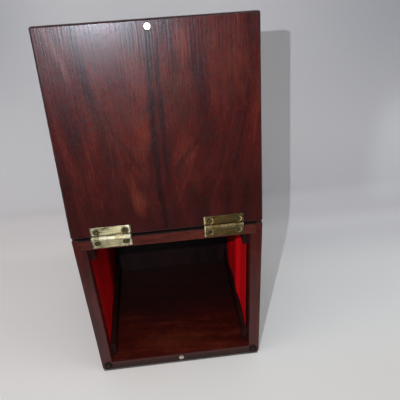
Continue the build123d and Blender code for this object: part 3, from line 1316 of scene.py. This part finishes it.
@dataclass(frozen=True)
class Lining:
    """One side's lining, a sheet tucked in at its sides with soft folds between."""

    side: Side
    seed: int
    folds: tuple[Fold, ...]
    finish: ClothFinish
    columns: int = 96
    rows: int = 30
    thickness: float = 0.45 * MM
    stand_off: float = 0.30 * MM
    edge_gap: float = 0.50 * MM
    tuck: float = 1.2 * MM
    crest_columns: float = 0.75
    fold_margin: float = 4.0 * MM
    dents: int = 26
    dent_margin: float = 8.0 * MM
    dent_push_mm: float = 0.12
    dent_reach_mm: Pair = (5.0, 14.0)

    def build(self) -> None:
        """Models the sheet and puts it in place of its CAD solid."""
        name = self.side.name.lower()
        sign = self.side.value
        low, high = corners(f"{name}_lining")
        wall = sign * max(abs(low.x), abs(high.x))
        sheet = start_piece(f"{name}_cloth_lining", bpy.ops.mesh.primitive_grid_add, x_subdivisions=self.columns,
                            y_subdivisions=self.rows, size=1.0)
        sheet.rotation_euler = radians((90.0, 0.0, -90.0 * sign))
        sheet.scale = (high.y - low.y, high.z - low.z, 1.0)
        sheet.location = (wall - sign * self.edge_gap, (low.y + high.y) / 2, (low.z + high.z) / 2)
        settle()
        self.fold(sheet, low, high)
        self.dent(sheet, low, high)
        bpy.ops.object.mode_set(mode="OBJECT")
        solid = sheet.modifiers.new("cloth", "SOLIDIFY")
        solid.thickness = self.thickness
        solid.offset = -1.0
        soft = sheet.modifiers.new("soft", "SUBSURF")
        soft.levels = soft.render_levels = 1
        for modifier in ("cloth", "soft"):
            bpy.ops.object.modifier_apply(modifier=modifier)
        bpy.ops.object.shade_smooth()
        sheet.data.materials.append(self.finish.material())
        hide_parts(f"{name}_lining")
        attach(sheet, "box")
        log.info("%s hangs on the %s wall", sheet.name, name)

    def pull(self, out: float, reach: float) -> None:
        """Pulls what is selected off the wall, and the cloth within reach of it follows softly."""
        bpy.ops.transform.translate(value=(-self.side.value * out, 0.0, 0.0), use_proportional_edit=True,
                                    proportional_edit_falloff="SMOOTH", proportional_size=reach)

    def fold(self, sheet: bpy.types.Object, low: Vector, high: Vector) -> None:
        """Pulls the sheet off the wall inside its tucked edges and raises its folds.

        Args:
            sheet: The flat sheet.
            low: The lining space's lowest corner.
            high: Its highest corner.
        """
        pick(sheet, "VERT", lambda place: place.y < high.y - self.tuck
             and low.z + self.tuck < place.z < high.z - self.tuck)
        bpy.ops.transform.translate(value=(-self.side.value * self.stand_off, 0.0, 0.0))
        middle, margin = (low.z + high.z) / 2, self.fold_margin
        half_crest = (high.y - low.y) / self.columns * self.crest_columns
        for fold in self.folds:
            def on_crest(place: Vector) -> bool:
                """Tells whether a place is on the fold's crest and clear of its ends."""
                crest = low.y + fold.depth * MM + fold.lean * (place.z - middle)
                return abs(place.y - crest) < half_crest and low.z + margin < place.z < high.z - margin
            pick(sheet, "VERT", on_crest)
            self.pull(fold.rise * MM, fold.reach * MM)

    def dent(self, sheet: bpy.types.Object, low: Vector, high: Vector) -> None:
        """Draws small dents all over the sheet.

        Args:
            sheet: The folded sheet.
            low: The lining space's lowest corner.
            high: Its highest corner.
        """
        draw = random.Random(self.seed)
        for _ in range(self.dents):
            y = draw.uniform(low.y + self.dent_margin, high.y - self.dent_margin)
            z = draw.uniform(low.z + self.dent_margin, high.z - self.dent_margin)
            push = draw.uniform(-self.dent_push_mm, self.dent_push_mm) * MM
            reach = draw.uniform(*self.dent_reach_mm) * MM
            near = min(sheet.data.vertices, key=lambda v: (v.co.y - y) ** 2 + (v.co.z - z) ** 2).co
            knot = (near.y, near.z)
            pick(sheet, "VERT", lambda place: (place.y, place.z) == knot)
            self.pull(push, reach)


@dataclass
class Linings:
    """Both linings."""

    # Each side's cloth is its own copy of one material, with its own painted light and shade.
    right: Lining = Lining(
        Side.RIGHT, 11, (Fold(0.0, 22.0, 0.9), Fold(48.0, 20.0, 1.7, -0.07), Fold(90.0, 31.0, 1.7, -0.05)),
        ClothFinish("red_cloth_right_painted_light", bands=(
            PaintedLightBand(4.0, 18.0, 0.6, 0.0, False), PaintedLightBand(104.0, 46.0, 0.72, 0.45, False), PaintedLightBand(40.0, 15.0, 0.70, -0.06),
            PaintedLightBand(82.0, 14.0, 0.25, -0.1))))
    left: Lining = Lining(
        Side.LEFT, 23, (Fold(16.0, 14.0, 0.20), Fold(41.0, 17.0, -0.20, 0.04), Fold(66.0, 18.0, 0.30, -0.03),
                        Fold(92.0, 17.0, -0.20)),
        ClothFinish("red_cloth_left_painted_light", bands=(
            PaintedLightBand(2.0, 36.0, 1.0, 0.0, False), PaintedLightBand(66.0, 42.0, 0.6, 0.2), PaintedLightBand(106.0, 60.0, 0.9, 0.35, False))))

    def build(self) -> None:
        """Builds the right and the left one."""
        self.right.build()
        self.left.build()


# ---------------------------------------------------------------------------- studio
@dataclass
class Backdrop:
    """Paper that runs along the table and up behind the box."""

    paper: PaperFinish = PaperFinish("backdrop_paper")
    width: float = 3.2
    front: float = -0.20
    turn_start: float = 0.105
    turn_radius: float = 0.045
    turn_steps: int = 14
    height: float = 1.3
    table_drop: float = 1.5 * MM
    table_reach: float = 2.5

    def build(self) -> None:
        """Makes the sweep and the table under it."""
        sweep = start_piece("backdrop_sweep", bpy.ops.mesh.primitive_plane_add, size=1.0,
                            location=(0.0, (self.front + self.turn_start) / 2, 0.0))
        sweep.scale = (self.width, self.turn_start - self.front, 1.0)
        settle()
        pick(sweep, "EDGE", lambda centre: centre.y > self.turn_start - 0.1 * MM)
        bpy.ops.mesh.spin(steps=self.turn_steps, angle=math.radians(-90.0),
                          center=(0.0, self.turn_start, self.turn_radius), axis=(1.0, 0.0, 0.0))
        bpy.ops.mesh.extrude_region_move(TRANSFORM_OT_translate={"value": (0.0, 0.0, self.height)})
        bpy.ops.mesh.select_all(action="SELECT")
        bpy.ops.mesh.remove_doubles(threshold=0.01 * MM)
        bpy.ops.object.mode_set(mode="OBJECT")
        bpy.ops.object.shade_smooth_by_angle(angle=math.radians(60.0))
        table = start_piece("table", bpy.ops.mesh.primitive_plane_add, size=2 * self.table_reach,
                            location=(0.0, 0.0, -self.table_drop))
        settle()
        table.visible_glossy = False
        paper = self.paper.material()
        for piece in (sweep, table):
            piece.data.materials.append(paper)
            piece.visible_shadow = False


@dataclass(frozen=True)
class Lamp:
    """One round area lamp; its power is in watts."""

    name: str
    place: Triple
    size: float
    power: float
    colour: Triple
    aim: Triple

    def hang(self) -> bpy.types.Object:
        """Hangs the lamp, facing what it aims at.

        Returns:
            The lamp.
        """
        light = bpy.data.lights.new(self.name, "AREA")
        light.shape = "DISK"
        light.size = self.size
        light.energy = self.power
        light.color = self.colour
        lamp = bpy.data.objects.new(self.name, light)
        bpy.context.scene.collection.objects.link(lamp)
        lamp.location = self.place
        lamp.rotation_euler = (Vector(self.aim) - Vector(self.place)).to_track_quat("-Z", "Y").to_euler()
        lamp.visible_camera = False
        return lamp


@dataclass
class Lamps:
    """A small key lamp by the camera and a softbox on each side, with a dim room round them."""

    key: Lamp = Lamp("key", (-0.061, -0.385, 0.416), 0.004, 1.28, (0.95, 0.98, 1.0), (0.0, -0.04, 0.16))
    glint: Lamp = Lamp("glint", (-0.070, -0.385, 0.390), 0.009, 1.28, (0.95, 0.98, 1.0), (0.0, -0.04, 0.16))
    left: Lamp = Lamp("left_softbox", (-1.4, -0.4, 0.6), 0.9, 3.6, (1.0, 0.88, 0.76), (0.0, 0.0, 0.15))
    right: Lamp = Lamp("right_softbox", (1.3, -0.5, 0.7), 0.9, 3.0, (1.0, 0.95, 0.90), (0.0, 0.0, 0.1))
    room_colour: Colour = tint(1.0, 0.985, 0.94)
    room_side: float = 1.15
    room_ahead: float = 0.04
    room_seen: float = 0.55

    def build(self) -> None:
        """Hangs the lamps and sets the room's own light."""
        self.key.hang().visible_glossy = False
        self.glint.hang().visible_diffuse = False
        self.left.hang()
        self.right.hang()
        world = bpy.data.worlds.new("room")
        world.use_nodes = True
        world.node_tree.nodes.clear()
        graph = Graph(world.node_tree)
        _, along, up = graph.add("TexCoord", output="Generated").parts()
        dim = along.ramp(-0.2, -0.65) * up.ramp(0.92, 0.45)
        level = dim.ramp(0.0, 1.0, self.room_side, self.room_ahead)
        seen = graph.add("LightPath", output="Is Camera Ray")
        strength = graph.add("MapRange", {"Value": seen, "To Min": level, "To Max": self.room_seen})
        background = graph.add("Background", {"Color": self.room_colour, "Strength": strength})
        graph.node("OutputWorld", {"Surface": background})
        bpy.context.scene.world = world


@dataclass
class Eye:
    """The camera, above and a little to the right of the box's middle."""

    place: Triple = (0.0040, -0.3599, 0.3689)
    turn: Triple = (57.16, 2.727, -6.137)
    lens: float = 41.54
    sensor: float = 36.0
    nearest: float = 0.01

    def build(self) -> None:
        """Sets the camera up."""
        data = bpy.data.cameras.new("eye")
        data.lens = self.lens
        data.sensor_width = self.sensor
        data.clip_start = self.nearest
        camera = bpy.data.objects.new("eye", data)
        bpy.context.scene.collection.objects.link(camera)
        camera.location = self.place
        camera.rotation_euler = radians(self.turn)
        bpy.context.scene.camera = camera


def main() -> None:
    """Builds everything in order."""
    logging.basicConfig(level=logging.INFO, format="%(message)s")
    bpy.context.scene.view_settings.view_transform = "Standard"
    for builder in (Carcass(), Lid(), Hinges(), MagnetCatch(), CornerPads(), Battens(), Linings(), Backdrop(),
                    Lamps(), Eye()):
        builder.build()
        log.info("%s is ready", type(builder).__name__)


if __name__ == "__main__":
    main()
